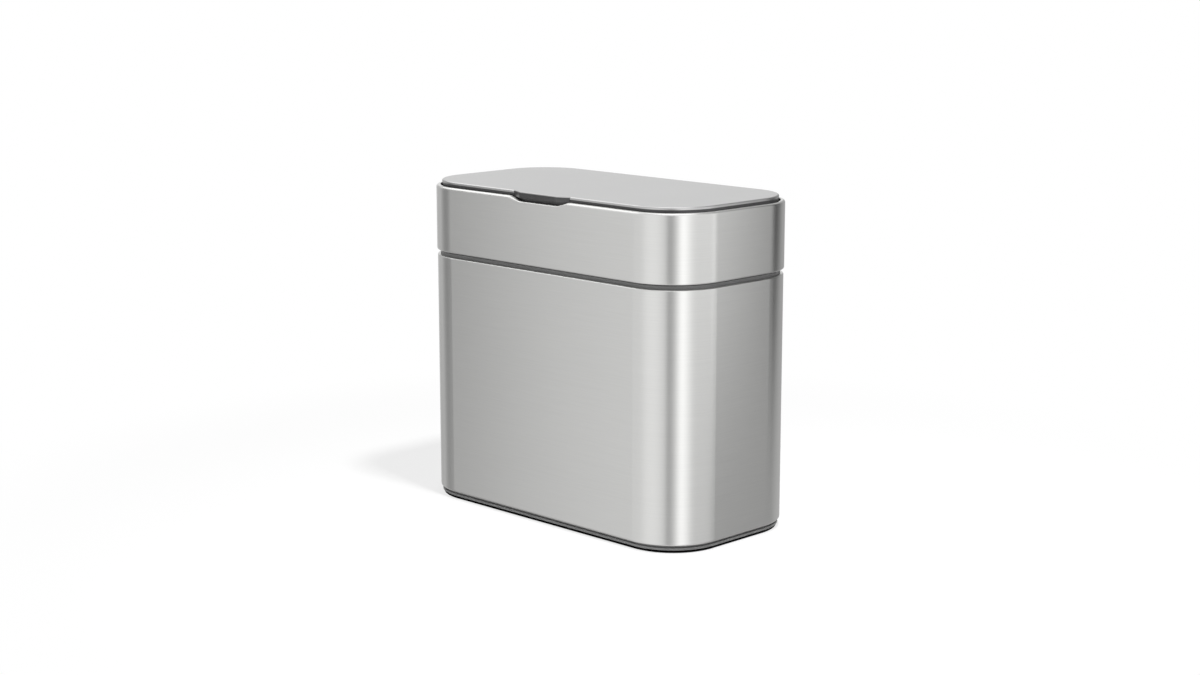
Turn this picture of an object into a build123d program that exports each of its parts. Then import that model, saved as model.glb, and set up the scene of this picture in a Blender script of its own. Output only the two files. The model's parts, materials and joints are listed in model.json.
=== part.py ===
"""Countertop compost caddy: a steel body, a lift-off top frame with a hinged lid, and a bucket with a bail.

Millimetres. X runs along the length, the front faces -Y and Z is up. The origin is the middle of the
footprint, on the surface that the caddy stands on. Most outlines are one rounded rectangle drawn at
different insets from the outer face of the top band, so an inset of 0 is the widest outline.
"""

from build123d import *
import os

# Overall size
LENGTH = 255.0
DEPTH = 130.0
CORNER = 39.0

# Heights of what shows from outside
STEEL_BOTTOM = 5.1
BODY_TOP = 175.0
BAND_BOTTOM = 178.4
RIM_TOP = 224.5
LID_TOP = 228.1

# Sheet steel
SHEET = 0.7
BODY_INSET = 0.4
BODY_LOW_ROUND = 1.5
BODY_HIGH_ROUND = 0.95
BODY_LOW_FLANGE = 11.0
BODY_HIGH_FLANGE = 2.5
BAND_LOW_ROUND = 0.95
BAND_HIGH_ROUND = 1.8
BAND_LOW_FLANGE = 2.4
BAND_HIGH_FLANGE = 2.9
FIT_GAP = 0.1

# Foot ring, base cover and base tray
FOOT_OUTER = 2.8
FOOT_INNER = 9.8
FOOT_TOP = 2.8
COVER_BAND_INSET = 1.8
COVER_BAND_LOW = 2.0
COVER_BAND_HIGH = 3.7
COVER_NECK_INSET = 3.2
COVER_POCKET_INSET = 13.0
COVER_POCKET_TOP = 3.5
TRAY_INSET = 1.3
TRAY_FLOOR = 2.5
TRAY_ROUND = 2.4
TRAY_WALL = 1.8
TRAY_WALL_TOP = 22.0
BOSS_RADIUS = 3.3
BOSS_TOP = 18.0
SCREW_INSET = 7.0
SCREW_SIDE_X = 60.0
BASE_SCREW_RADIUS = 1.5
BASE_SCREW_TIP = 15.0
BASE_HEAD_RADIUS = 2.7
BASE_HEAD_HEIGHT = 1.3

# Ring that closes the top of the body, and carries the top frame and the bucket
RING_BOTTOM = 158.0
RING_TOP = 177.5
RING_SKIRT = 2.1
RING_SHOULDER = 174.2
RING_NECK_OUTER = 2.6
RING_NECK_INNER = 4.9
LEDGE_INNER = 7.6
LEDGE_TOP = 172.0
LEDGE_THICKNESS = 3.0

# Bucket
BUCKET_BOTTOM = 9.6
BUCKET_LOW_INSET = 11.0
BUCKET_HIGH_INSET = 8.0
BUCKET_WALL = 1.9
BUCKET_FLOOR = 2.2
BUCKET_LOW_ROUND = 5.0
BUCKET_RIM_TOP = 174.0
BUCKET_RIM_OUTER = 5.2

# Bail of the bucket and its pivots
BAIL_INSET = 9.7
BAIL_RADIUS = 1.8
BAIL_AXIS_Z = 177.2
BAIL_HUB_RADIUS = 3.0
BAIL_HUB_HALF = 1.75
BAIL_START_Y = 1.5
GRIP_RADIUS = 2.8
GRIP_HALF = 44.0
GRIP_RIBS = 15
GRIP_RIB_DEPTH = 0.35
PIVOT_RADIUS = 1.5
PIVOT_HEAD_RADIUS = 2.5
PIVOT_HEAD = 0.9
LUG_IN = 113.4
LUG_OUT = 115.9
LUG_HALF = 5.0
LUG_FOOT_OUT = 118.5
LUG_FOOT_LOW = 158.0

# Top frame
FRAME_WALL_OUTER = 0.8
FRAME_WALL_INNER = 2.9
FRAME_WALL_LOW = 179.4
FRAME_WALL_TOP = 222.6
FRAME_FOOT_OUTER = 2.6
FRAME_FOOT_TOP = 182.5
SPIGOT_OUTER = 5.25
SPIGOT_INNER = 6.6
SPIGOT_BOTTOM = 174.3
DECK_LOW = 205.0
DECK_HIGH = 207.0
MOUTH_HALF_X = 108.0
MOUTH_FRONT = -53.0
MOUTH_BACK = 44.0
MOUTH_CORNER = 22.0
MOUTH_WALL = 1.8
MOUTH_LIP = 215.0
MOUTH_LOW = 186.0
RIB_HALF_THICKNESS = 0.8
SIDE_RIB_Y = (-32.0, 0.0, 32.0)
FRONT_RIB_X = (-72.0, -36.0, 36.0, 72.0)

# Finger notch in the front of the rim
NOTCH_TOP_HALF = 28.5
NOTCH_LOW_HALF = 18.5
NOTCH_DEPTH = 3.0
NOTCH_LOW_ROUND = 8.0
NOTCH_REACH = 10.0

# Lid
LID_INSET = 4.1
LID_ROUND = 1.1
LID_SKIRT_LOW = 226.3
CORE_SIDE_INSET = 4.4
CORE_SIDE_TOP = 226.2
CORE_LOW = 220.9
CORE_WALL = 2.0
CORE_PLATE = 1.6
CORE_RIB_X = (-90.0, -30.0, 30.0, 90.0)
LINER_INSET = 6.9
LINER_LOW = 218.9
GASKET_LOW = 215.1
GASKET_OUT = 3.5
GASKET_IN = 1.5
TONGUE_OUT = 2.4
TONGUE_IN = -0.4
TONGUE_HEIGHT = 1.0
GASKET_ROUND = 1.1
LID_SCREW_X = (-90.0, 0.0, 90.0)
LID_SCREW_Y = (-40.0, 30.0)
LID_SCREW_RADIUS = 1.25
LID_HEAD_RADIUS = 2.3
LID_HEAD_HEIGHT = 1.2
LID_BOSS_RADIUS = 3.0

# Pull tab of the lid: a flat steel tongue of the pan, with a plastic tab under it
TAB_LOW = 223.8
TAB_FRONT_HALF = 17.5
TAB_BACK_HALF = 27.0
TAB_CORNER = 2.5
TAB_STEP = 0.1
TAB_TONGUE_HALF = 24.0
TAB_TONGUE_BACK = 10.0
TAB_TONGUE_TOP = 225.6
TAB_ROUND = 0.5
PULL_ROUND = 0.3
PULL_ROOT = 1.6

# Hinge of the lid
HINGE_X = 62.0
HINGE_Y = 55.0
HINGE_Z = 225.6
PIN_RADIUS = 1.0
PIN_CLEARANCE = 0.06
PIN_HALF = 10.2
PIN_HEAD_RADIUS = 1.5
PIN_HEAD = 0.6
EAR_RADIUS = 1.65
EAR_IN = 8.0
EAR_OUT = 9.6
EAR_FRONT = 48.5
EAR_BACK = 53.0
EAR_SHOULDER = 222.2
EAR_CHEST = 219.5
BRACKET_HALF = 11.5
BRACKET_FRONT = 46.4
BRACKET_BACK = 54.4
BRACKET_PLATE = 1.4
BRACKET_SCREW_X = 4.6
BRACKET_SCREW_Y = 50.4
BARREL_RADIUS = 1.65
BARREL_HALF = 7.7
LEAF_FRONT = 34.0
LEAF_THICKNESS = 1.2
LEAF_SCREW_X = 4.2
LEAF_SCREW_Y = 39.0
HINGE_SCREW_RADIUS = 1.2
HINGE_SCREW_HEAD = 2.1
HINGE_HEAD_HEIGHT = 1.1
POCKET_HALF = 12.5
POCKET_FRONT = 47.9
BARREL_POCKET_FRONT = 52.3
SIDES = (-1, 1)

CORE_TOP = LID_TOP - SHEET - FIT_GAP
CORE_INSET = LID_INSET + SHEET + FIT_GAP
CORE_CEILING = CORE_TOP - CORE_PLATE
TAB_TOP = LID_TOP - SHEET - FIT_GAP / 2
TRAY_BOTTOM = STEEL_BOTTOM + SHEET + FIT_GAP / 2


def block(low, high):
    """Box between two corners."""
    size = [b - a for a, b in zip(low, high)]
    middle = [(a + b) / 2 for a, b in zip(low, high)]
    return Pos(*middle) * Box(*size)


def slab(inset, low, high):
    """Solid rounded rectangle, inset from the band's outer face, between two heights."""
    outline = RectangleRounded(LENGTH - 2 * inset, DEPTH - 2 * inset, CORNER - inset)
    return Pos(0, 0, low) * extrude(outline, high - low)


def loop(outer, inner, low, high):
    """Ring between two insets and two heights."""
    return slab(outer, low, high) - slab(inner, low, high)


def mouth_slab(grow, low, high):
    """Solid in the shape of the top frame's mouth, grown all round by a distance."""
    width = 2 * (MOUTH_HALF_X + grow)
    depth = MOUTH_BACK - MOUTH_FRONT + 2 * grow
    middle = (MOUTH_BACK + MOUTH_FRONT) / 2
    outline = RectangleRounded(width, depth, MOUTH_CORNER + grow)
    return Pos(0, middle, low) * extrude(outline, high - low)


def mouth_loop(outer, inner, low, high):
    """Ring that follows the mouth."""
    return mouth_slab(outer, low, high) - mouth_slab(inner, low, high)


def round_end(solid, direction, radius):
    """Fillet the edges at the low (-1) or high (1) end of a solid."""
    edges = solid.edges().group_by(Axis.Z)
    return fillet(edges[0] if direction < 0 else edges[-1], radius)


def post(x, y, radius, low, high):
    """Upright cylinder between two heights."""
    return Pos(x, y, (low + high) / 2) * Cylinder(radius, high - low)


def axle(x_low, x_high, y, z, radius):
    """Cylinder along X."""
    middle = Pos((x_low + x_high) / 2, y, z)
    return middle * Rot(0, 90, 0) * Cylinder(radius, x_high - x_low)


def steel_sleeve(inset, low, high, low_round, high_round, low_flange, high_flange):
    """Sheet steel sleeve with both edges rolled inwards to short flanges."""
    outer = round_end(round_end(slab(inset, low, high), -1, low_round), 1, high_round)
    inner = slab(inset + SHEET, low + SHEET, high - SHEET)
    inner = round_end(inner, -1, low_round - SHEET)
    inner = round_end(inner, 1, high_round - SHEET)
    sleeve = outer - inner
    sleeve -= slab(low_flange, low - SHEET, low + 2 * SHEET)
    return sleeve - slab(high_flange, high - 2 * SHEET, high + SHEET)


def notch_cutter(grow, drop):
    """Prism in the shape of the finger notch, grown sideways and dropped by two distances."""
    low = RIM_TOP - NOTCH_DEPTH - drop
    above = RIM_TOP + 6.0
    slope = (NOTCH_TOP_HALF - NOTCH_LOW_HALF) / NOTCH_DEPTH
    top_half = NOTCH_TOP_HALF + grow
    low_half = NOTCH_LOW_HALF + grow - drop * slope / 2
    right = [(low_half, low), (top_half, RIM_TOP), (top_half, above)]
    left = [(-x, z) for x, z in reversed(right)]
    face = make_face(Polyline(*right, *left, close=True))
    face = fillet(face.vertices().group_by(Axis.Y)[0], NOTCH_LOW_ROUND)
    upright = Plane(origin=(0, 0, 0), x_dir=(1, 0, 0), z_dir=(0, -1, 0))
    reach = DEPTH / 2 + 5.0
    prism = extrude(upright * face, reach)
    return prism - block((-LENGTH, -DEPTH / 2 + NOTCH_REACH, 0), (LENGTH, DEPTH, 2 * RIM_TOP))


def base_screw_places():
    """Six places around the base, under the foot ring."""
    side = DEPTH / 2 - SCREW_INSET
    places = [(x * SCREW_SIDE_X, y * side) for x in SIDES for y in SIDES]
    return places + [(x * (LENGTH / 2 - SCREW_INSET), 0.0) for x in SIDES]


def lid_screw_places():
    """Six places where the lid's inner panel is screwed to its core."""
    return [(x, y) for x in LID_SCREW_X for y in LID_SCREW_Y]


def make_body_sleeve():
    """Steel sleeve of the body, with holes in its lower flange for the base screws."""
    sleeve = steel_sleeve(
        BODY_INSET, STEEL_BOTTOM, BODY_TOP, BODY_LOW_ROUND, BODY_HIGH_ROUND,
        BODY_LOW_FLANGE, BODY_HIGH_FLANGE,
    )
    for x, y in base_screw_places():
        sleeve -= post(x, y, BASE_SCREW_RADIUS + 0.2, STEEL_BOTTOM - 1, STEEL_BOTTOM + 2)
    return sleeve


def make_foot_ring():
    """Rubber ring that the caddy stands on."""
    ring = loop(FOOT_OUTER, FOOT_INNER, 0, FOOT_TOP)
    return round_end(ring, -1, 0.5)


def make_base_cover():
    """Plastic bottom cover; its edge is the thin band under the steel."""
    band = slab(COVER_BAND_INSET, COVER_BAND_LOW, COVER_BAND_HIGH)
    band = fillet(band.edges().filter_by(Plane.XY), 0.35)
    cover = band + slab(COVER_NECK_INSET, COVER_BAND_LOW, STEEL_BOTTOM)
    cover -= loop(FOOT_OUTER - FIT_GAP, FOOT_INNER + FIT_GAP, 0, FOOT_TOP)
    pocket = slab(COVER_POCKET_INSET, 0, COVER_POCKET_TOP)
    for x in (-60.0, 0.0, 60.0):
        pocket -= block((x - 1.0, -DEPTH, 0), (x + 1.0, DEPTH, COVER_POCKET_TOP))
    cover -= pocket
    head_top = FOOT_TOP + BASE_HEAD_HEIGHT
    for x, y in base_screw_places():
        cover -= post(x, y, BASE_SCREW_RADIUS + 0.1, 0, STEEL_BOTTOM + 1)
        cover -= post(x, y, BASE_HEAD_RADIUS + 0.2, 0, head_top)
    return cover


def make_base_tray():
    """Plastic tray inside the body's bottom, with bosses for the base screws."""
    tray = slab(TRAY_INSET, TRAY_BOTTOM, TRAY_WALL_TOP)
    tray = round_end(tray, -1, TRAY_ROUND)
    tray -= slab(TRAY_INSET + TRAY_WALL, TRAY_BOTTOM + TRAY_FLOOR, TRAY_WALL_TOP)
    for x, y in base_screw_places():
        tray += post(x, y, BOSS_RADIUS, TRAY_BOTTOM, BOSS_TOP)
    for x, y in base_screw_places():
        tray -= post(x, y, BASE_SCREW_RADIUS + 0.05, 0, BASE_SCREW_TIP + 1)
    return tray


def make_base_screws():
    """Six pan-head screws that clamp the body's lower flange between the cover and the tray."""
    head_top = FOOT_TOP + BASE_HEAD_HEIGHT
    screws = []
    for x, y in base_screw_places():
        head = post(x, y, BASE_HEAD_RADIUS, FOOT_TOP + 0.1, head_top)
        head -= Pos(x, y, FOOT_TOP + 0.1) * Box(3.0, 0.8, 1.4)
        head -= Pos(x, y, FOOT_TOP + 0.1) * Box(0.8, 3.0, 1.4)
        screws.append(head + post(x, y, BASE_SCREW_RADIUS, head_top, BASE_SCREW_TIP))
    return screws


def make_body_top_ring():
    """Plastic ring in the body's top. Its neck shows in the groove, and its ledge carries the bucket."""
    outer = BODY_INSET + SHEET + FIT_GAP
    ring = loop(outer, outer + RING_SKIRT, RING_BOTTOM, RING_SHOULDER)
    ring += loop(outer, LEDGE_INNER, LEDGE_TOP - LEDGE_THICKNESS, LEDGE_TOP)
    ring += loop(RING_NECK_OUTER, RING_NECK_INNER, LEDGE_TOP - LEDGE_THICKNESS, RING_TOP)
    return round_end(ring, -1, 0.4)


def make_bucket():
    """Inner bucket: drafted walls, a flange that hangs on the ledge, and two lugs for the bail."""
    rise = LEDGE_TOP - BUCKET_BOTTOM
    draft = degrees_of(BUCKET_LOW_INSET - BUCKET_HIGH_INSET, rise)
    bucket = tapered(BUCKET_LOW_INSET, BUCKET_BOTTOM, LEDGE_TOP + 1, draft)
    bucket = round_end(bucket, -1, BUCKET_LOW_ROUND)
    bucket += slab(BUCKET_RIM_OUTER, LEDGE_TOP, BUCKET_RIM_TOP)
    low = BUCKET_BOTTOM + BUCKET_FLOOR
    inside = tapered(BUCKET_LOW_INSET + BUCKET_WALL, low, BUCKET_RIM_TOP + 1, draft)
    inside = round_end(inside, -1, BUCKET_LOW_ROUND - BUCKET_WALL)
    bucket -= inside
    rim = bucket.edges().group_by(Axis.Z)[-1]
    bucket = fillet(rim, 0.6)
    for side in SIDES:
        foot = block((LUG_IN, -LUG_HALF, LUG_FOOT_LOW), (LUG_FOOT_OUT, LUG_HALF, LEDGE_TOP))
        foot = chamfer(foot.edges().filter_by(Axis.Y).sort_by(Axis.Z)[0:2].sort_by(Axis.X)[0], 4.0)
        ear = block((LUG_IN, -LUG_HALF, LEDGE_TOP - 1), (LUG_OUT, LUG_HALF, BAIL_AXIS_Z))
        ear += axle(LUG_IN, LUG_OUT, 0, BAIL_AXIS_Z, LUG_HALF)
        lug = foot + ear - axle(LUG_IN - 5, LUG_OUT + 5, 0, BAIL_AXIS_Z, PIVOT_RADIUS + 0.05)
        bucket += lug if side > 0 else mirror(lug, about=Plane.YZ)
    return bucket


def degrees_of(rise, run):
    """Angle of a slope in degrees."""
    return Vector(run, rise, 0).get_angle(Vector(1, 0, 0))


def tapered(inset, low, high, draft):
    """Rounded rectangle that widens upwards by a draft angle."""
    outline = RectangleRounded(LENGTH - 2 * inset, DEPTH - 2 * inset, CORNER - inset)
    return Pos(0, 0, low) * extrude(outline, high - low, taper=-draft)


def make_bail_pivots():
    """Two shoulder rivets on which the bail swings."""
    rivets = []
    for side in SIDES:
        hub_out = LUG_OUT + 2 * BAIL_HUB_HALF + 0.3
        rivet = axle(LUG_IN - 0.9, hub_out, 0, BAIL_AXIS_Z, PIVOT_RADIUS)
        rivet += axle(hub_out, hub_out + PIVOT_HEAD, 0, BAIL_AXIS_Z, PIVOT_HEAD_RADIUS)
        rivet += axle(LUG_IN - 0.9, LUG_IN, 0, BAIL_AXIS_Z, PIVOT_HEAD_RADIUS - 0.3)
        rivets.append(rivet if side > 0 else mirror(rivet, about=Plane.YZ))
    return rivets


def bail_line():
    """Centre line of the bail where it lies on the front half of the bucket's rim."""
    half_x = LENGTH / 2 - BAIL_INSET
    front = -(DEPTH / 2 - BAIL_INSET)
    corner = CORNER - BAIL_INSET
    points = [(half_x, -BAIL_START_Y), (half_x, front), (-half_x, front), (-half_x, -BAIL_START_Y)]
    line = FilletPolyline(*points, radius=corner)
    return Pos(0, 0, BAIL_AXIS_Z) * line


def make_bail():
    """Wire bail with an eye at each end."""
    line = bail_line()
    section = Plane(origin=line @ 0, z_dir=line % 0) * Circle(BAIL_RADIUS)
    bail = sweep(section, path=line)
    middle = LENGTH / 2 - BAIL_INSET
    for side in SIDES:
        x = side * middle
        bail += axle(x - BAIL_HUB_HALF, x + BAIL_HUB_HALF, 0, BAIL_AXIS_Z, BAIL_HUB_RADIUS)
    for side in SIDES:
        x = side * middle
        bail -= axle(x - 5, x + 5, 0, BAIL_AXIS_Z, PIVOT_RADIUS + PIN_CLEARANCE)
    return bail


def make_bail_grip():
    """Ribbed plastic sleeve on the middle of the bail."""
    front = -(DEPTH / 2 - BAIL_INSET)
    grip = axle(-GRIP_HALF, GRIP_HALF, front, BAIL_AXIS_Z, GRIP_RADIUS)
    grip = fillet(grip.edges().filter_by(GeomType.CIRCLE), 0.7)
    pitch = 2 * (GRIP_HALF - 6.0) / (GRIP_RIBS - 1)
    for i in range(GRIP_RIBS):
        x = -GRIP_HALF + 6.0 + i * pitch
        groove = axle(x - 0.8, x + 0.8, front, BAIL_AXIS_Z, GRIP_RADIUS + 1)
        grip -= groove - axle(x - 1, x + 1, front, BAIL_AXIS_Z, GRIP_RADIUS - GRIP_RIB_DEPTH)
    return grip - axle(-GRIP_HALF - 1, GRIP_HALF + 1, front, BAIL_AXIS_Z, BAIL_RADIUS + 0.05)


def make_band_sleeve():
    """Steel band of the top frame, with the finger notch cut into its front."""
    band = steel_sleeve(
        0, BAND_BOTTOM, RIM_TOP, BAND_LOW_ROUND, BAND_HIGH_ROUND, BAND_LOW_FLANGE, BAND_HIGH_FLANGE
    )
    return band - notch_cutter(0, 0)


def make_frame_shell():
    """Plastic top frame: wall behind the band, foot, spigot, deck and the mouth with its sealing lip."""
    foot_low = RING_TOP + FIT_GAP
    frame = loop(FRAME_WALL_OUTER, FRAME_WALL_INNER, FRAME_WALL_LOW, FRAME_WALL_TOP)
    frame += loop(FRAME_WALL_OUTER, SPIGOT_INNER, FRAME_WALL_LOW, FRAME_FOOT_TOP)
    frame += loop(FRAME_FOOT_OUTER, SPIGOT_INNER, foot_low, FRAME_FOOT_TOP)
    frame += loop(SPIGOT_OUTER, SPIGOT_INNER, SPIGOT_BOTTOM, foot_low + 1)
    frame += slab(FRAME_WALL_INNER - 0.5, DECK_LOW, DECK_HIGH)
    frame += mouth_slab(MOUTH_WALL, MOUTH_LOW, MOUTH_LIP)
    for y in SIDE_RIB_Y:
        for side in SIDES:
            ends = sorted((side * (MOUTH_HALF_X + 1), side * (LENGTH / 2 - FRAME_WALL_INNER + 0.5)))
            low = (ends[0], y - RIB_HALF_THICKNESS, MOUTH_LOW + 2)
            frame += block(low, (ends[1], y + RIB_HALF_THICKNESS, DECK_LOW + 1))
    for x in FRONT_RIB_X:
        low = (x - RIB_HALF_THICKNESS, -DEPTH / 2 + FRAME_WALL_INNER - 0.5, MOUTH_LOW + 2)
        frame += block(low, (x + RIB_HALF_THICKNESS, MOUTH_FRONT - 1, DECK_LOW + 1))
    frame -= mouth_slab(0, MOUTH_LOW - 30, MOUTH_LIP + 10)
    frame -= notch_cutter(1.0, 0.9)
    for x, y in bracket_screw_places():
        frame -= post(x, y, HINGE_SCREW_RADIUS + 0.05, DECK_LOW - 1, DECK_HIGH + 1)
    return frame


def bracket_screw_places():
    """Two places on each hinge bracket."""
    return [(a * HINGE_X + b * BRACKET_SCREW_X, BRACKET_SCREW_Y) for a in SIDES for b in SIDES]


def leaf_screw_places():
    """Two places on each hinge leaf."""
    return [(a * HINGE_X + b * LEAF_SCREW_X, LEAF_SCREW_Y) for a in SIDES for b in SIDES]


def ear_face():
    """Side view of a bracket ear: a stem that leans back to the pin, clear of the lid's swing."""
    stem = [
        (EAR_FRONT, DECK_HIGH),
        (EAR_BACK, DECK_HIGH),
        (EAR_BACK, EAR_SHOULDER),
        (HINGE_Y - 0.86 * EAR_RADIUS, HINGE_Z - 0.5 * EAR_RADIUS),
        (HINGE_Y, HINGE_Z),
        (HINGE_Y - 0.7 * EAR_RADIUS, HINGE_Z + 0.7 * EAR_RADIUS),
        (EAR_FRONT, EAR_CHEST),
    ]
    return make_face(Polyline(*stem, close=True)) + Pos(HINGE_Y, HINGE_Z) * Circle(EAR_RADIUS)


def make_hinge_brackets():
    """Two bent steel brackets on the deck, each with two ears for the hinge pin."""
    sideways = Plane(origin=(0, 0, 0), x_dir=(0, 1, 0), z_dir=(1, 0, 0))
    brackets = []
    for side in SIDES:
        x = side * HINGE_X
        low = (x - BRACKET_HALF, BRACKET_FRONT, DECK_HIGH)
        bracket = block(low, (x + BRACKET_HALF, BRACKET_BACK, DECK_HIGH + BRACKET_PLATE))
        for ear in SIDES:
            start = min(ear * EAR_IN, ear * EAR_OUT)
            bracket += Pos(x + start, 0, 0) * extrude(sideways * ear_face(), EAR_OUT - EAR_IN)
        bracket -= axle(x - 20, x + 20, HINGE_Y, HINGE_Z, PIN_RADIUS + 0.03)
        for screw_x, screw_y in bracket_screw_places():
            bracket -= post(screw_x, screw_y, HINGE_SCREW_RADIUS + 0.1, DECK_LOW, DECK_HIGH + 4)
        brackets.append(bracket)
    return brackets


def make_bracket_screws():
    """Four screws that hold the hinge brackets on the deck."""
    plate_top = DECK_HIGH + BRACKET_PLATE
    screws = []
    for x, y in bracket_screw_places():
        head = post(x, y, HINGE_SCREW_HEAD, plate_top, plate_top + HINGE_HEAD_HEIGHT)
        head -= Pos(x, y, plate_top + HINGE_HEAD_HEIGHT) * Box(2.6, 0.6, 1.0)
        screws.append(head + post(x, y, HINGE_SCREW_RADIUS, DECK_LOW - 1.5, plate_top))
    return screws


def make_hinge_pins():
    """Two pins, peened over at both ends."""
    pins = []
    for side in SIDES:
        x = side * HINGE_X
        pin = axle(x - PIN_HALF, x + PIN_HALF, HINGE_Y, HINGE_Z, PIN_RADIUS)
        for end in SIDES:
            near = x + end * (EAR_OUT + 0.05)
            far = near + end * PIN_HEAD
            pin += axle(min(near, far), max(near, far), HINGE_Y, HINGE_Z, PIN_HEAD_RADIUS)
        pins.append(pin)
    return pins


def pull_face(step, back):
    """Outline of the pull seen from above, drawn inwards by a step, that runs back to an inset."""
    front = -DEPTH / 2 + step
    front_half = TAB_FRONT_HALF - step
    back_half = TAB_BACK_HALF - step
    root = -DEPTH / 2 + LID_INSET
    right = [(front_half, front), (back_half, root), (back_half, -DEPTH / 2 + back)]
    left = [(-x, y) for x, y in reversed(right)]
    face = make_face(Polyline(*right, *left, close=True))
    return fillet(face.vertices().group_by(Axis.Y)[0], TAB_CORNER - step)


def make_lid_skin():
    """Shallow steel pan that covers the top of the lid, with a flat tongue at the front for the pull."""
    outer = round_end(slab(LID_INSET, LID_SKIRT_LOW, LID_TOP), 1, LID_ROUND)
    inner = slab(LID_INSET + SHEET, LID_SKIRT_LOW - 1, LID_TOP - SHEET)
    pan = outer - round_end(inner, 1, LID_ROUND - SHEET)
    front = -DEPTH / 2
    skirt_half = TAB_BACK_HALF + FIT_GAP
    skirt_back = front + LID_INSET + SHEET + FIT_GAP
    pan -= block((-skirt_half, front, LID_SKIRT_LOW - 1), (skirt_half, skirt_back, LID_TOP - SHEET))
    pull = Pos(0, 0, LID_TOP - SHEET) * extrude(pull_face(0, LID_INSET + PULL_ROOT), SHEET)
    root = front + LID_INSET
    top = pull.edges().filter_by(Plane.XY).group_by(Axis.Z)[-1]
    pull = fillet(top.filter_by(lambda edge: edge.center().Y < root - 0.1), PULL_ROUND)
    return pan + pull


def make_lid_core():
    """Plastic core under the steel pan: top plate, ribs, screw bosses, and the edge below the pan."""
    core = round_end(slab(CORE_INSET, CORE_LOW, CORE_TOP), 1, LID_ROUND - SHEET)
    core += slab(CORE_SIDE_INSET, CORE_LOW, CORE_SIDE_TOP)
    core -= slab(CORE_SIDE_INSET + CORE_WALL, CORE_LOW - 1, CORE_CEILING)
    inside = slab(CORE_SIDE_INSET + 1, CORE_LOW, CORE_CEILING + 0.5)
    ribs = Part()
    for x in CORE_RIB_X:
        ribs += block((x - 0.9, -DEPTH / 2, CORE_LOW), (x + 0.9, DEPTH / 2, CORE_CEILING + 0.5))
    core += ribs & inside
    for x, y in lid_screw_places():
        core += post(x, y, LID_BOSS_RADIUS, CORE_LOW, CORE_CEILING + 0.5)
    for x, y in lid_screw_places():
        core -= post(x, y, LID_SCREW_RADIUS + 0.05, CORE_LOW - 1, CORE_TOP - 0.6)
    for side in SIDES:
        x = side * HINGE_X
        core -= block((x - POCKET_HALF, POCKET_FRONT, 0), (x + POCKET_HALF, DEPTH / 2, CORE_CEILING))
        core -= block((x - POCKET_HALF, BARREL_POCKET_FRONT, 0), (x + POCKET_HALF, DEPTH / 2, LID_TOP))
    for x, y in leaf_screw_places():
        core -= post(x, y, HINGE_SCREW_RADIUS + 0.05, CORE_LOW, CORE_TOP - 0.3)
    slot_half = TAB_TONGUE_HALF + FIT_GAP
    slot_back = -DEPTH / 2 + TAB_TONGUE_BACK + FIT_GAP
    return core - block((-slot_half, -DEPTH / 2, TAB_LOW - FIT_GAP), (slot_half, slot_back, CORE_CEILING))


def make_lid_liner():
    """Smooth inner panel of the lid, with the groove that holds the gasket."""
    liner = slab(LINER_INSET, LINER_LOW, CORE_LOW)
    liner = round_end(liner, -1, 0.8)
    liner -= mouth_loop(TONGUE_OUT + 0.05, TONGUE_IN - 0.05, 0, LINER_LOW + TONGUE_HEIGHT + 0.1)
    for x, y in lid_screw_places():
        liner -= post(x, y, LID_SCREW_RADIUS + 0.15, 0, CORE_LOW + 1)
        liner -= post(x, y, LID_HEAD_RADIUS + 0.15, 0, LINER_LOW + LID_HEAD_HEIGHT)
    for side in SIDES:
        x = side * HINGE_X
        liner -= block((x - POCKET_HALF, POCKET_FRONT, 0), (x + POCKET_HALF, DEPTH / 2, CORE_LOW + 1))
    return liner


def make_lid_gasket():
    """Soft seal that presses on the lip of the mouth."""
    pad = mouth_loop(GASKET_OUT, -GASKET_IN, GASKET_LOW, LINER_LOW)
    pad = round_end(pad, -1, GASKET_ROUND)
    return pad + mouth_loop(TONGUE_OUT, TONGUE_IN, LINER_LOW - 0.5, LINER_LOW + TONGUE_HEIGHT)


def make_lid_screws():
    """Six screws that hold the inner panel to the core."""
    screws = []
    top = LINER_LOW + LID_HEAD_HEIGHT
    for x, y in lid_screw_places():
        head = post(x, y, LID_HEAD_RADIUS, LINER_LOW, top)
        head -= Pos(x, y, LINER_LOW) * Box(2.8, 0.7, 1.0)
        head -= Pos(x, y, LINER_LOW) * Box(0.7, 2.8, 1.0)
        screws.append(head + post(x, y, LID_SCREW_RADIUS, top, CORE_TOP - 1.0))
    return screws


def make_lid_pull_tab():
    """Plastic tab under the pan's tongue, over the notch, with a tenon through the core's wall."""
    front = -DEPTH / 2
    back = front + CORE_SIDE_INSET - FIT_GAP / 2
    face = pull_face(TAB_STEP, CORE_SIDE_INSET - FIT_GAP / 2)
    tab = Pos(0, 0, TAB_LOW) * extrude(face, TAB_TOP - TAB_LOW)
    low = tab.edges().filter_by(Plane.XY).group_by(Axis.Z)[0]
    root = front + LID_INSET
    tab = fillet(low.filter_by(lambda edge: edge.center().Y < root - 0.1), TAB_ROUND)
    tenon_low = (-TAB_TONGUE_HALF, back - 0.5, TAB_LOW)
    return tab + block(tenon_low, (TAB_TONGUE_HALF, front + TAB_TONGUE_BACK, TAB_TONGUE_TOP))


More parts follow.
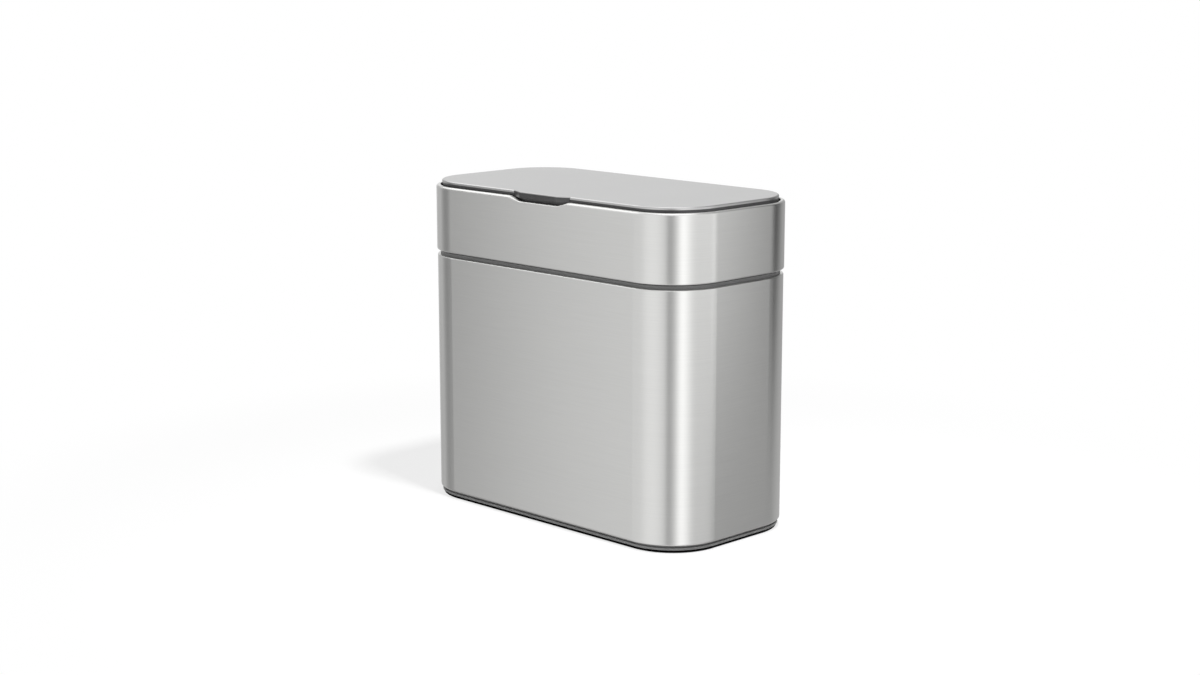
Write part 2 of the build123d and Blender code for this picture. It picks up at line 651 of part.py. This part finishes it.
def make_hinge_leaves():
    """Two steel leaves screwed under the core, each with a barrel that turns on the hinge pin."""
    leaves = []
    for side in SIDES:
        x = side * HINGE_X
        leaf = axle(x - BARREL_HALF, x + BARREL_HALF, HINGE_Y, HINGE_Z, BARREL_RADIUS)
        low = (x - BARREL_HALF, LEAF_FRONT, CORE_CEILING - LEAF_THICKNESS)
        leaf += block(low, (x + BARREL_HALF, HINGE_Y, CORE_CEILING))
        leaf -= axle(x - 20, x + 20, HINGE_Y, HINGE_Z, PIN_RADIUS + PIN_CLEARANCE)
        for screw_x, screw_y in leaf_screw_places():
            leaf -= post(screw_x, screw_y, HINGE_SCREW_RADIUS + 0.1, 0, LID_TOP)
        leaves.append(leaf)
    return leaves


def make_leaf_screws():
    """Four screws that hold the hinge leaves to the core."""
    low = CORE_CEILING - LEAF_THICKNESS
    screws = []
    for x, y in leaf_screw_places():
        head = post(x, y, HINGE_SCREW_HEAD, low - HINGE_HEAD_HEIGHT, low)
        screws.append(head + post(x, y, HINGE_SCREW_RADIUS, low, CORE_TOP - 0.5))
    return screws


PIECES = {
    "body_sleeve": make_body_sleeve,
    "foot_ring": make_foot_ring,
    "base_cover": make_base_cover,
    "base_tray": make_base_tray,
    "base_screws": make_base_screws,
    "body_top_ring": make_body_top_ring,
    "bucket": make_bucket,
    "bail_pivots": make_bail_pivots,
    "bail": make_bail,
    "bail_grip": make_bail_grip,
    "band_sleeve": make_band_sleeve,
    "frame_shell": make_frame_shell,
    "hinge_brackets": make_hinge_brackets,
    "bracket_screws": make_bracket_screws,
    "hinge_pins": make_hinge_pins,
    "hinge_leaves": make_hinge_leaves,
    "leaf_screws": make_leaf_screws,
    "lid_skin": make_lid_skin,
    "lid_core": make_lid_core,
    "lid_liner": make_lid_liner,
    "lid_gasket": make_lid_gasket,
    "lid_screws": make_lid_screws,
    "lid_pull_tab": make_lid_pull_tab,
}


def main():
    """Write one STEP file for each piece."""
    os.makedirs("parts", exist_ok=True)
    for name, make in PIECES.items():
        made = make()
        solid = Compound(children=list(made)) if isinstance(made, list) else made
        export_step(solid, f"parts/{name}.step")
        print(name, round(solid.volume))


if __name__ == "__main__":
    main()
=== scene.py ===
"""Compost caddy: finishes, stage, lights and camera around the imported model.

The file is laid out as an add-on and is run as a script. Lengths are metres, and the upper band's
section is drawn in millimetres and scaled by MM.
"""

import json
import math

import bpy
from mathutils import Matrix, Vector

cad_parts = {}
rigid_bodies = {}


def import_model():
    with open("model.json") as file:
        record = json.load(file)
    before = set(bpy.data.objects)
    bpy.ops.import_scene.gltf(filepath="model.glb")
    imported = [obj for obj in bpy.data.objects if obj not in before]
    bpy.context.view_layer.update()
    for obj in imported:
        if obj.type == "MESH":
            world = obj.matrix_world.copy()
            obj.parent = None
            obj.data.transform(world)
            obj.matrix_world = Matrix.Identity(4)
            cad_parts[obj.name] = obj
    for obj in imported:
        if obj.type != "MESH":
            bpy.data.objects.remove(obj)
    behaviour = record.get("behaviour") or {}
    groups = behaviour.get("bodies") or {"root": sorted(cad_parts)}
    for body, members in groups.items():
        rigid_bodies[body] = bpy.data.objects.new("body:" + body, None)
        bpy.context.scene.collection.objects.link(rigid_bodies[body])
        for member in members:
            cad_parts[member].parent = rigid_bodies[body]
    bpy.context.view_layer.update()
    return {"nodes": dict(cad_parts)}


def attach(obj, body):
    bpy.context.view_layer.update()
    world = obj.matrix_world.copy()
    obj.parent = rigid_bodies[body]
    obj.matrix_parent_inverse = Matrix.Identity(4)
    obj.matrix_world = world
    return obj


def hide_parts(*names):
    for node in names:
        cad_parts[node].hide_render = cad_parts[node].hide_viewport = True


bl_info = {
    "name": "Compost caddy",
    "version": (1, 0, 0),
    "blender": (4, 5, 0),
    "location": "3D View > Sidebar > Caddy",
    "description": "Finishes, stage and lights for a countertop compost caddy",
    "category": "Object",
}

for leftover in list(bpy.data.objects):
    bpy.data.objects.remove(leftover)

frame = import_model()

# Camera, for an image of 1200 by 675
CAMERA_PLACE = (1.01663, -1.02599, 0.40188)
CAMERA_TURN = (79.01, 0.0, 44.89)
CAMERA_LENS = 63.11
CAMERA_SENSOR = 36.0

# Key lamp
KEY_PLACE = (0.373, -0.10, 1.25)
KEY_AIM = (0.0, 0.0, 0.1)
KEY_SIZE = 0.13

# Floor: its outline's steps, and where it turns fully white
FLOOR_STEPS = 96
FLOOR_FADE = (0.30, 0.50)

# Which CAD nodes take which finish
STEEL_WALLS = ("body_sleeve",)
STEEL_TOP = ("lid_skin",)
TAB_PLASTIC = ("lid_pull_tab",)
EDGE_PLASTIC = ("lid_core",)
DARK_PLASTIC = ("frame_shell", "base_tray", "bail_grip")
GREY_PLASTIC = ("body_top_ring", "base_cover", "lid_liner")
BUCKET_PLASTIC = ("bucket",)
RUBBER = ("foot_ring",)
SEAL = ("lid_gasket",)
PLATED = (
    "base_screws",
    "hinge_brackets",
    "bracket_screws",
    "hinge_pins",
    "hinge_leaves",
    "leaf_screws",
    "lid_screws",
    "bail_pivots",
    "bail",
)


class Signal:
    """A number that varies over a surface, for shader maths in plain expressions."""

    def __init__(self, tree, socket):
        self.tree = tree
        self.socket = socket

    def _math(self, operation, *terms):
        sockets = dict(enumerate(terms))
        node = self.tree.node("ShaderNodeMath", {"operation": operation}, sockets)
        return Signal(self.tree, node.outputs[0])

    def __add__(self, other):
        return self._math("ADD", self, other)

    def __sub__(self, other):
        return self._math("SUBTRACT", self, other)

    def __rsub__(self, other):
        return self._math("SUBTRACT", other, self)

    def __mul__(self, other):
        return self._math("MULTIPLY", self, other)

    __radd__ = __add__
    __rmul__ = __mul__

    def size(self):
        """Absolute value."""
        return self._math("ABSOLUTE", self)

    def at_most(self, other):
        """The lower of two."""
        return self._math("MINIMUM", self, other)

    def eased(self, low, high):
        """0 at low and 1 at high, with a smooth start and end."""
        settings = {"interpolation_type": "SMOOTHSTEP"}
        sockets = {"Value": self, "From Min": low, "From Max": high}
        node = self.tree.node("ShaderNodeMapRange", settings, sockets)
        return Signal(self.tree, node.outputs[0])


class Tree:
    """The node tree of a material or world, with one way to add any node."""

    def __init__(self, owner, output):
        owner.use_nodes = True
        self.owner = owner
        self.nodes = owner.node_tree.nodes
        self.links = owner.node_tree.links
        self.nodes.clear()
        self.output = self.nodes.new(output)

    def node(self, kind, settings=None, sockets=None):
        """Add a node: its settings first, then the values or links of its sockets."""
        made = self.nodes.new(kind)
        for name, value in (settings or {}).items():
            setattr(made, name, value)
        for name, value in (sockets or {}).items():
            self.feed(made.inputs[name], value)
        return made

    def feed(self, socket, value):
        """Link a socket, or set its value."""
        if isinstance(value, Signal):
            self.links.new(value.socket, socket)
        elif isinstance(value, bpy.types.NodeSocket):
            self.links.new(value, socket)
        else:
            socket.default_value = value

    def signal(self, kind, settings=None, sockets=None, output=0):
        """A node's output as a signal."""
        return Signal(self, self.node(kind, settings, sockets).outputs[output])

    def place(self, stretch):
        """Object coordinates in metres, multiplied along each axis."""
        where = self.node("ShaderNodeTexCoord").outputs["Object"]
        return self.node("ShaderNodeVectorMath", {"operation": "MULTIPLY"}, {0: where, 1: stretch}).outputs[0]

    def noise(self, stretch, detail=2.0, roughness=0.55):
        """Noise with its own number of cells per metre along each axis."""
        sockets = {"Vector": self.place(stretch), "Scale": 1.0, "Detail": detail, "Roughness": roughness}
        return self.signal("ShaderNodeTexNoise", None, sockets)

    def blend(self, share, low, high):
        """Colour between two colours."""
        node = self.node("ShaderNodeMix", {"data_type": "RGBA"})
        self.feed(node.inputs[0], share)
        self.feed(node.inputs[6], (*low, 1.0))
        self.feed(node.inputs[7], (*high, 1.0))
        return node.outputs[2]

    def bump(self, height, strength, distance):
        """Normal of a surface with small relief."""
        sockets = {"Strength": strength, "Distance": distance, "Height": height}
        return self.node("ShaderNodeBump", None, sockets).outputs["Normal"]

    def surface(self, sockets):
        """Finish the tree with one shader for the surface."""
        shader = self.node("ShaderNodeBsdfPrincipled", None, sockets)
        self.links.new(shader.outputs[0], self.output.inputs["Surface"])
        return self.owner


def shade(colour, factor):
    """A colour made darker or lighter."""
    return tuple(min(1.0, c * factor) for c in colour)


def new_tree(name):
    """Tree of a new material."""
    return Tree(bpy.data.materials.new(name), "ShaderNodeOutputMaterial")


def brushed_steel(name, look, colour, along_lid):
    """Steel brushed in one direction: fine hairlines, longer scratches and faint mottling."""
    tree = new_tree(name)
    pitch = 1.0 / look.hairline_pitch
    reach = 1.0 / look.hairline_length
    fine = tree.noise((reach, pitch, pitch) if along_lid else (reach, reach, pitch), 2.0)
    long_lines = tree.noise(
        (reach / 3, pitch / 4, pitch / 4) if along_lid else (reach / 3, reach / 3, pitch / 4), 3.0, 0.7
    )
    mottle = tree.noise((14.0, 14.0, 20.0), 2.0)
    grain = fine * 0.7 + long_lines * 0.3
    tone = grain.eased(0.25, 0.75)
    rough = look.steel_roughness + (fine - 0.5) * 0.10 + (mottle - 0.5) * 0.05
    sockets = {
        "Base Color": tree.blend(tone, shade(colour, 0.97), shade(colour, 1.03)),
        "Metallic": 1.0,
        "Roughness": rough,
        "Normal": tree.bump(grain, 0.18, 0.00003),
        "Anisotropic": 0.0 if along_lid else look.brushing,
        "Anisotropic Rotation": 0.25,
    }
    return tree.surface(sockets)


def moulded_plastic(name, colour, roughness, pitch):
    """Moulded plastic with a fine spark-eroded texture and a slight flow mottle."""
    tree = new_tree(name)
    grain = tree.noise((1 / pitch, 1 / pitch, 1 / pitch), 3.0, 0.6)
    mottle = tree.noise((30.0, 30.0, 45.0), 2.0)
    tone = (grain * 0.6 + mottle * 0.4).eased(0.3, 0.7)
    sockets = {
        "Base Color": tree.blend(tone, shade(colour, 0.88), shade(colour, 1.12)),
        "Roughness": roughness + (mottle - 0.5) * 0.12 + (grain - 0.5) * 0.10,
        "Normal": tree.bump(grain, 0.35, 0.00004),
        "Specular IOR Level": 0.5,
    }
    return tree.surface(sockets)


def soft_rubber(name, colour, roughness, shine):
    """Soft, dull rubber with a dusty bloom."""
    tree = new_tree(name)
    specks = tree.noise((2600.0, 2600.0, 2600.0), 2.0)
    bloom = tree.noise((60.0, 60.0, 60.0), 3.0, 0.6)
    sockets = {
        "Base Color": tree.blend(bloom.eased(0.35, 0.75), shade(colour, 0.9), shade(colour, 1.35)),
        "Roughness": roughness + (bloom - 0.5) * 0.15,
        "Normal": tree.bump(specks, 0.3, 0.00004),
        "Specular IOR Level": shine,
    }
    return tree.surface(sockets)


def plated_steel(name, colour, roughness):
    """Zinc-plated steel with fine draw marks."""
    tree = new_tree(name)
    marks = tree.noise((900.0, 900.0, 900.0), 3.0, 0.6)
    haze = tree.noise((90.0, 90.0, 90.0), 2.0)
    sockets = {
        "Base Color": tree.blend(haze.eased(0.3, 0.7), shade(colour, 0.9), shade(colour, 1.08)),
        "Metallic": 1.0,
        "Roughness": roughness + (haze - 0.5) * 0.12 + (marks - 0.5) * 0.08,
        "Normal": tree.bump(marks, 0.2, 0.00002),
    }
    return tree.surface(sockets)


def dress(names, material):
    """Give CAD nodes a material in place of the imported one."""
    for name in names:
        slots = frame["nodes"][name].material_slots
        for slot in slots:
            slot.material = material


class CaddyLook(bpy.types.PropertyGroup):
    """Colours and finishes of the caddy."""

    steel: bpy.props.FloatVectorProperty(
        name="Steel", description="Colour of the brushed steel", subtype="COLOR", default=(0.60, 0.60, 0.59)
    )
    # The walls' brushed steel made darker for the lid's pan: painted shade for the dimmer top, not a
    # different finish.
    lid_steel_painted_shade: bpy.props.FloatVectorProperty(
        name="Lid steel", description="Colour of the lid's pan", subtype="COLOR",
        default=(0.455, 0.455, 0.453),
    )
    steel_roughness: bpy.props.FloatProperty(
        name="Steel roughness", description="How dull the steel is", subtype="FACTOR",
        default=0.33, min=0, max=1,
    )
    brushing: bpy.props.FloatProperty(
        name="Brushing", description="How far the hairlines smear reflections", subtype="FACTOR", default=0.80
    )
    hairline_pitch: bpy.props.FloatProperty(
        name="Hairline pitch", description="Distance between hairlines", unit="LENGTH",
        default=0.0003, precision=5,
    )
    hairline_length: bpy.props.FloatProperty(
        name="Hairline length", description="Length of a hairline", unit="LENGTH", default=0.03
    )
    tab_plastic: bpy.props.FloatVectorProperty(
        name="Tab plastic", description="Pull tab under the tongue", subtype="COLOR",
        default=(0.055, 0.055, 0.056),
    )
    edge_plastic: bpy.props.FloatVectorProperty(
        name="Edge plastic", description="Lid core, which shows below the pan", subtype="COLOR",
        default=(0.095, 0.095, 0.097),
    )
    dark_plastic: bpy.props.FloatVectorProperty(
        name="Dark plastic", description="Top frame and tray", subtype="COLOR", default=(0.045, 0.045, 0.047)
    )
    grey_plastic: bpy.props.FloatVectorProperty(
        name="Grey plastic", description="Ring in the groove and base cover", subtype="COLOR",
        default=(0.2, 0.2, 0.2),
    )
    bucket_plastic: bpy.props.FloatVectorProperty(
        name="Bucket plastic", description="Inner bucket", subtype="COLOR", default=(0.11, 0.11, 0.115)
    )
    # Near-black with no shine, so the foot ring also stands in for the contact shadow under the base: partly
    # the rubber's own colour, partly painted shadow.
    rubber_and_painted_shadow: bpy.props.FloatVectorProperty(
        name="Rubber", description="Ring that the caddy stands on", subtype="COLOR",
        default=(0.004, 0.004, 0.004),
    )
    seal: bpy.props.FloatVectorProperty(
        name="Seal", description="Soft seal of the lid", subtype="COLOR", default=(0.09, 0.09, 0.09)
    )
    plating: bpy.props.FloatVectorProperty(
        name="Plating", description="Screws, hinges and bail", subtype="COLOR", default=(0.62, 0.62, 0.61)
    )


class CaddyStage(bpy.types.PropertyGroup):
    """Floor and lights."""

    floor_radius: bpy.props.FloatProperty(
        name="Floor radius", description="Radius of the pale floor", unit="LENGTH", default=6.0
    )
    floor: bpy.props.FloatVectorProperty(
        name="Floor", description="Colour of the floor", subtype="COLOR", default=(0.92, 0.92, 0.92)
    )
    floor_glow: bpy.props.FloatProperty(
        name="Floor glow", description="Share of the floor that is plain white to the eye", subtype="FACTOR",
        default=0.76,
    )
    sky: bpy.props.FloatProperty(
        name="Sky", description="Strength of the light from all round", default=0.35
    )
    key_power: bpy.props.FloatProperty(
        name="Key power", description="Power of the key light", unit="POWER", default=15.4
    )


# Upper band with its rim rolled inwards all round and down through the finger notch, in millimetres
MM = 0.001
BAND_NAME = "rolled_band"
HALF_LENGTH = 127.5
HALF_DEPTH = 65.0
CORNER_RADIUS = 39.0
SHEET = 0.7
BAND_LOW = 178.4
BAND_HIGH = 224.5
LOW_ROUND = 0.95
RIM_ROUND = 1.8
NOTCH_ROUND = 0.8
FIXED_HEIGHT = 217.0
LOW_FLANGE = 2.4
RIM_FLANGE = 2.9
NOTCH_TOP = 28.5
NOTCH_SLOPE = 10.0
NOTCH_DEPTH = 3.0
NOTCH_EASE = 0.12
NOTCH_REACH = 32.0
NOTCH_STEP = 0.5
CORNER_STEPS = 48
ROUND_STEPS = 8
SUPPORT = 0.3
SHARP_ANGLE = math.radians(35)


def rounded_ramp(place):
    """0 below 0 and 1 above 1, straight between, with both bends eased."""

    def bend(distance):
        if distance <= -NOTCH_EASE:
            return 0.0
        if distance >= NOTCH_EASE:
            return distance
        return (distance + NOTCH_EASE) ** 2 / (4 * NOTCH_EASE)

    return bend(place) - bend(place - 1.0)


def rim_drop(x, y):
    """How far the rim runs down at a place: only at the front, through the notch."""
    if y > 0:
        return 0.0
    return NOTCH_DEPTH * rounded_ramp((NOTCH_TOP - abs(x)) / NOTCH_SLOPE)


def round_profile(inset, height, radius, start):
    """Quarter turn of the band's section, from an angle in degrees, clockwise."""
    turns = [math.radians(start - 90.0 * i / ROUND_STEPS) for i in range(ROUND_STEPS + 1)]
    return [(inset + radius * math.cos(turn), height + radius * math.sin(turn)) for turn in turns]


def band_section(rim_round):
    """Closed section of the band's sheet, as insets from its outer face and heights."""
    low = BAND_LOW + LOW_ROUND
    high = BAND_HIGH - rim_round
    section = [(LOW_FLANGE, BAND_LOW)]
    section += round_profile(LOW_ROUND, low, LOW_ROUND, 270.0)
    section += [(0.0, low + SUPPORT), (0.0, FIXED_HEIGHT), (0.0, high - SUPPORT)]
    section += round_profile(rim_round, high, rim_round, 180.0)
    section += [(RIM_FLANGE, BAND_HIGH), (RIM_FLANGE, BAND_HIGH - SHEET)]
    section += list(reversed(round_profile(rim_round, high, rim_round - SHEET, 180.0)))
    section += [(SHEET, high - SUPPORT), (SHEET, FIXED_HEIGHT), (SHEET, low + SUPPORT)]
    section += list(reversed(round_profile(LOW_ROUND, low, LOW_ROUND - SHEET, 270.0)))
    section += [(LOW_FLANGE, BAND_LOW + SHEET)]
    return section


def band_columns():
    """Places round the band: a point on the inner rectangle and the direction outwards.

    Each corner has a column close to its ends, so that the flat faces stay flat to the light."""
    across = HALF_LENGTH - CORNER_RADIUS
    deep = HALF_DEPTH - CORNER_RADIUS
    steps = round(2 * NOTCH_REACH / NOTCH_STEP)
    columns = [((-NOTCH_REACH + i * NOTCH_STEP, -deep), (0.0, -1.0)) for i in range(steps + 1)]
    columns.append(((across - SUPPORT, -deep), (0.0, -1.0)))
    corners = (((across, -deep), -90), ((across, deep), 0), ((-across, deep), 90), ((-across, -deep), 180))
    for centre, start in corners:
        turns = [math.radians(start + 90.0 * i / CORNER_STEPS) for i in range(CORNER_STEPS + 1)]
        first = (math.cos(turns[0]), math.sin(turns[0]))
        last = (math.cos(turns[-1]), math.sin(turns[-1]))
        if start != -90:
            columns.append(((centre[0] + first[1] * SUPPORT, centre[1] - first[0] * SUPPORT), first))
        columns += [(centre, (math.cos(turn), math.sin(turn))) for turn in turns]
        columns.append(((centre[0] - last[1] * SUPPORT, centre[1] + last[0] * SUPPORT), last))
    return columns


def make_band():
    """Sweep the section round the outline, and lower and tighten its rim through the notch."""
    columns = band_columns()
    points = []
    for (x, y), (out_x, out_y) in columns:
        drop = rim_drop(x, y)
        section = band_section(RIM_ROUND + (NOTCH_ROUND - RIM_ROUND) * drop / NOTCH_DEPTH)
        for inset, height in section:
            reach = CORNER_RADIUS - inset
            z = height - drop if height > FIXED_HEIGHT else height
            points.append(((x + out_x * reach) * MM, (y + out_y * reach) * MM, z * MM))
    size = len(section)
    faces = []
    for i in range(len(columns)):
        here = i * size
        there = (i + 1) % len(columns) * size
        for j in range(size):
            k = (j + 1) % size
            faces.append((here + j, there + j, there + k, here + k))
    mesh = bpy.data.meshes.new(BAND_NAME)
    mesh.from_pydata(points, [], faces)
    mesh.polygons.foreach_set("use_smooth", [True] * len(faces))
    mesh.set_sharp_from_angle(angle=SHARP_ANGLE)
    band = bpy.data.objects.new(BAND_NAME, mesh)
    bpy.context.scene.collection.objects.link(band)
    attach(band, "top_frame")
    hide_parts("band_sleeve")
    return band


class CADDY_OT_forms(bpy.types.Operator):
    """Make the upper band with its rolled rim"""

    bl_idname = "caddy.forms"
    bl_label = "Forms"

    def execute(self, context):
        make_band()
        return {"FINISHED"}


class CADDY_OT_steel(bpy.types.Operator):
    """Finish the steel sleeves and the lid's pan"""

    bl_idname = "caddy.steel"
    bl_label = "Steel"

    def execute(self, context):
        look = context.scene.caddy_look
        walls = brushed_steel("steel_walls", look, look.steel, False)
        dress(STEEL_WALLS, walls)
        bpy.data.objects[BAND_NAME].data.materials.append(walls)
        # Darker copy of the walls' steel on the lid: painted shade on the top.
        dress(STEEL_TOP, brushed_steel("steel_lid_painted_shade", look, look.lid_steel_painted_shade, True))
        return {"FINISHED"}


class CADDY_OT_plastics(bpy.types.Operator):
    """Finish the moulded pieces"""

    bl_idname = "caddy.plastics"
    bl_label = "Plastics"

    def execute(self, context):
        look = context.scene.caddy_look
        dress(TAB_PLASTIC, moulded_plastic("tab_plastic", look.tab_plastic, 0.30, 0.0006))
        dress(EDGE_PLASTIC, moulded_plastic("edge_plastic", look.edge_plastic, 0.30, 0.0006))
        dress(DARK_PLASTIC, moulded_plastic("dark_plastic", look.dark_plastic, 0.42, 0.0006))
        dress(GREY_PLASTIC, moulded_plastic("grey_plastic", look.grey_plastic, 0.45, 0.0006))
        dress(BUCKET_PLASTIC, moulded_plastic("bucket_plastic", look.bucket_plastic, 0.38, 0.0008))
        return {"FINISHED"}


class CADDY_OT_soft(bpy.types.Operator):
    """Finish the foot ring and the seal"""

    bl_idname = "caddy.soft"
    bl_label = "Rubber and seal"

    def execute(self, context):
        look = context.scene.caddy_look
        # Foot ring: black rubber, darkened and without shine as painted contact shadow under the base.
        dress(RUBBER, soft_rubber("rubber_and_painted_shadow", look.rubber_and_painted_shadow, 0.7, 0.0))
        dress(SEAL, soft_rubber("seal", look.seal, 0.6, 0.35))
        return {"FINISHED"}


class CADDY_OT_hardware(bpy.types.Operator):
    """Finish the hinges, screws and bail"""

    bl_idname = "caddy.hardware"
    bl_label = "Hardware"

    def execute(self, context):
        look = context.scene.caddy_look
        dress(PLATED, plated_steel("plated_steel", look.plating, 0.28))
        return {"FINISHED"}


def card(name, place, width, reach, strengths, soft):
    """Card that only reflections see, facing the caddy: soft sides, and two strengths, low and high."""
    half = width / 2
    low, high = reach
    mesh = bpy.data.meshes.new(name)
    corners = [(-half, low, 0), (half, low, 0), (half, high, 0), (-half, high, 0)]
    mesh.from_pydata(corners, [], [(0, 1, 2, 3)])
    panel = bpy.data.objects.new(name, mesh)
    bpy.context.scene.collection.objects.link(panel)
    panel.location = place
    panel.rotation_euler = Vector(place).to_track_quat("Z", "Y").to_euler()
    tree = new_tree(name)
    where = tree.node("ShaderNodeTexCoord").outputs["Object"]
    split = tree.node("ShaderNodeSeparateXYZ", None, {0: where})
    mask = (half - Signal(tree, split.outputs[0]).size()).eased(0.0, soft)
    rise = Signal(tree, split.outputs[1]).eased(-CARD_BLEND, CARD_BLEND)
    strength = rise * (strengths[1] - strengths[0]) + strengths[0]
    glow = tree.node("ShaderNodeEmission", None, {"Strength": strength}).outputs[0]
    clear = tree.node("ShaderNodeBsdfTransparent").outputs[0]
    mixed = tree.node("ShaderNodeMixShader", None, {0: mask, 1: clear, 2: glow}).outputs[0]
    tree.links.new(mixed, tree.output.inputs["Surface"])
    mesh.materials.append(tree.owner)
    only_reflected(panel)
    return panel


def only_reflected(panel):
    """Hide a stage object from everything but reflections."""
    panel.visible_camera = False
    panel.visible_diffuse = False
    panel.visible_shadow = False
    panel.visible_transmission = False
    panel.visible_volume_scatter = False


# Reflection cards: name, place, width, reach down and up, strength low and high, soft sides
UPRIGHT = (-0.8, 0.5)
CARD_BLEND = 0.12
CARDS = (
    ("left_flag", (-0.595, -0.303, 0.0), 0.672, UPRIGHT, (0.40, 0.30), 0.30),
    ("left_wall", (-0.701, 0.067, 0.0), 0.60, UPRIGHT, (0.52, 0.58), 0.30),
    ("front_flag", (0.440, -0.413, 0.0), 0.242, UPRIGHT, (0.47, 0.40), 0.03),
    ("strip", (0.456, -0.231, 0.0), 0.41, UPRIGHT, (1.95, 2.15), 0.289),
    ("front_fill", (0.107, -0.624, 0.0), 0.60, UPRIGHT, (1.20, 1.24), 0.226),
    ("right_wall", (0.72, 0.20, 0.0), 0.90, UPRIGHT, (0.78, 1.22), 0.10),
    ("right_fill", (0.518, 0.274, 0.0), 0.06, UPRIGHT, (0.70, 1.9), 0.025),
    ("low_flag", (0.43, 0.33, 0.04), 0.24, UPRIGHT, (0.43, 1.20), 0.10),
    ("side_flag", (0.212, 0.186, 0.08), 0.265, UPRIGHT, (0.37, 0.0), 0.175),
    ("back_wall", (0.070, 0.492, 0.0), 0.66, UPRIGHT, (0.60, 0.48), 0.057),
    ("ceiling", (0.08, -0.05, 1.0), 0.90, (-0.45, 0.45), (2.2, 2.2), 0.20),
    ("high_left", (-0.66, -0.18, 0.80), 0.90, (-0.25, 0.25), (2.2, 2.2), 0.15),
)


class CADDY_OT_stage(bpy.types.Operator):
    """Make the floor, the sky, the lights and the camera"""

    bl_idname = "caddy.stage"
    bl_label = "Stage"

    def execute(self, context):
        stage = context.scene.caddy_stage
        self.make_floor(stage)
        self.make_sky(stage)
        self.make_key(stage)
        for row in CARDS:
            card(*row)
        self.make_camera(context)
        context.scene.view_settings.view_transform = "Standard"
        return {"FINISHED"}

    def make_floor(self, stage):
        """Round pale floor that stays white to the eye and keeps the shadow."""
        turns = [math.tau * i / FLOOR_STEPS for i in range(FLOOR_STEPS)]
        radius = stage.floor_radius
        ring = [(radius * math.cos(turn), radius * math.sin(turn), 0) for turn in turns]
        mesh = bpy.data.meshes.new("floor")
        mesh.from_pydata(ring, [], [tuple(range(FLOOR_STEPS))])
        floor = bpy.data.objects.new("floor", mesh)
        bpy.context.scene.collection.objects.link(floor)
        tree = new_tree("floor")
        seen = seen_rays(tree)
        where = tree.node("ShaderNodeTexCoord").outputs["Object"]
        away = tree.signal("ShaderNodeVectorMath", {"operation": "LENGTH"}, {0: where}, "Value")
        far = away.eased(*FLOOR_FADE)
        share = seen * (far * (1.0 - stage.floor_glow) + stage.floor_glow)
        matt = tree.node("ShaderNodeBsdfDiffuse", None, {"Color": (*stage.floor, 1.0)}).outputs[0]
        white = tree.node("ShaderNodeEmission", None, {"Strength": 1.0}).outputs[0]
        mixed = tree.node("ShaderNodeMixShader", None, {0: share, 1: matt, 2: white}).outputs[0]
        tree.links.new(mixed, tree.output.inputs["Surface"])
        mesh.materials.append(tree.owner)
        floor.visible_glossy = False

    def make_sky(self, stage):
        """White to the eye and in reflections, and a softer light on everything else."""
        world = bpy.data.worlds.new("sky")
        bpy.context.scene.world = world
        tree = Tree(world, "ShaderNodeOutputWorld")
        strength = stage.sky + seen_rays(tree) * (1.0 - stage.sky)
        sockets = {"Color": (1.0, 1.0, 1.0, 1.0), "Strength": strength}
        background = tree.node("ShaderNodeBackground", None, sockets)
        tree.links.new(background.outputs[0], tree.output.inputs["Surface"])

    def make_key(self, stage):
        """Soft lamp high on the right, which throws the shadow to the left."""
        lamp = bpy.data.lights.new("key", "AREA")
        lamp.energy = stage.key_power
        lamp.size = KEY_SIZE
        key = bpy.data.objects.new("key", lamp)
        bpy.context.scene.collection.objects.link(key)
        key.location = KEY_PLACE
        key.rotation_euler = (Vector(KEY_AIM) - key.location).to_track_quat("-Z", "Y").to_euler()
        key.visible_camera = False
        key.visible_glossy = False

    def make_camera(self, context):
        """Camera at the angle of the photograph."""
        lens = bpy.data.cameras.new("camera")
        lens.lens = CAMERA_LENS
        lens.sensor_width = CAMERA_SENSOR
        camera = bpy.data.objects.new("camera", lens)
        camera.location = CAMERA_PLACE
        camera.rotation_euler = [math.radians(turn) for turn in CAMERA_TURN]
        context.scene.collection.objects.link(camera)
        context.scene.camera = camera


def seen_rays(tree):
    """1 for rays from the eye, from gloss and through glass."""
    path = tree.node("ShaderNodeLightPath")
    camera = Signal(tree, path.outputs["Is Camera Ray"])
    glossy = Signal(tree, path.outputs["Is Glossy Ray"])
    through = Signal(tree, path.outputs["Is Transmission Ray"])
    return (camera + glossy + through).at_most(1.0)


OPERATORS = (
    CADDY_OT_stage,
    CADDY_OT_forms,
    CADDY_OT_steel,
    CADDY_OT_plastics,
    CADDY_OT_soft,
    CADDY_OT_hardware,
)


class CADDY_PT_panel(bpy.types.Panel):
    """Lists the caddy's operators and settings"""

    bl_idname = "CADDY_PT_panel"
    bl_label = "Compost caddy"
    bl_space_type = "VIEW_3D"
    bl_region_type = "UI"
    bl_category = "Caddy"

    def draw(self, context):
        for operator in OPERATORS:
            self.layout.operator(operator.bl_idname)
        for group in (context.scene.caddy_look, context.scene.caddy_stage):
            for name in group.__annotations__:
                self.layout.prop(group, name)


CLASSES = (CaddyLook, CaddyStage, *OPERATORS, CADDY_PT_panel)


def register():
    for made in CLASSES:
        bpy.utils.register_class(made)
    bpy.types.Scene.caddy_look = bpy.props.PointerProperty(type=CaddyLook)
    bpy.types.Scene.caddy_stage = bpy.props.PointerProperty(type=CaddyStage)


def unregister():
    del bpy.types.Scene.caddy_stage
    del bpy.types.Scene.caddy_look
    for made in reversed(CLASSES):
        bpy.utils.unregister_class(made)


def main():
    """Register the add-on and run its operators."""
    register()
    for operator in OPERATORS:
        group, name = operator.bl_idname.split(".")
        getattr(getattr(bpy.ops, group), name)()


if __name__ == "__main__":
    main()
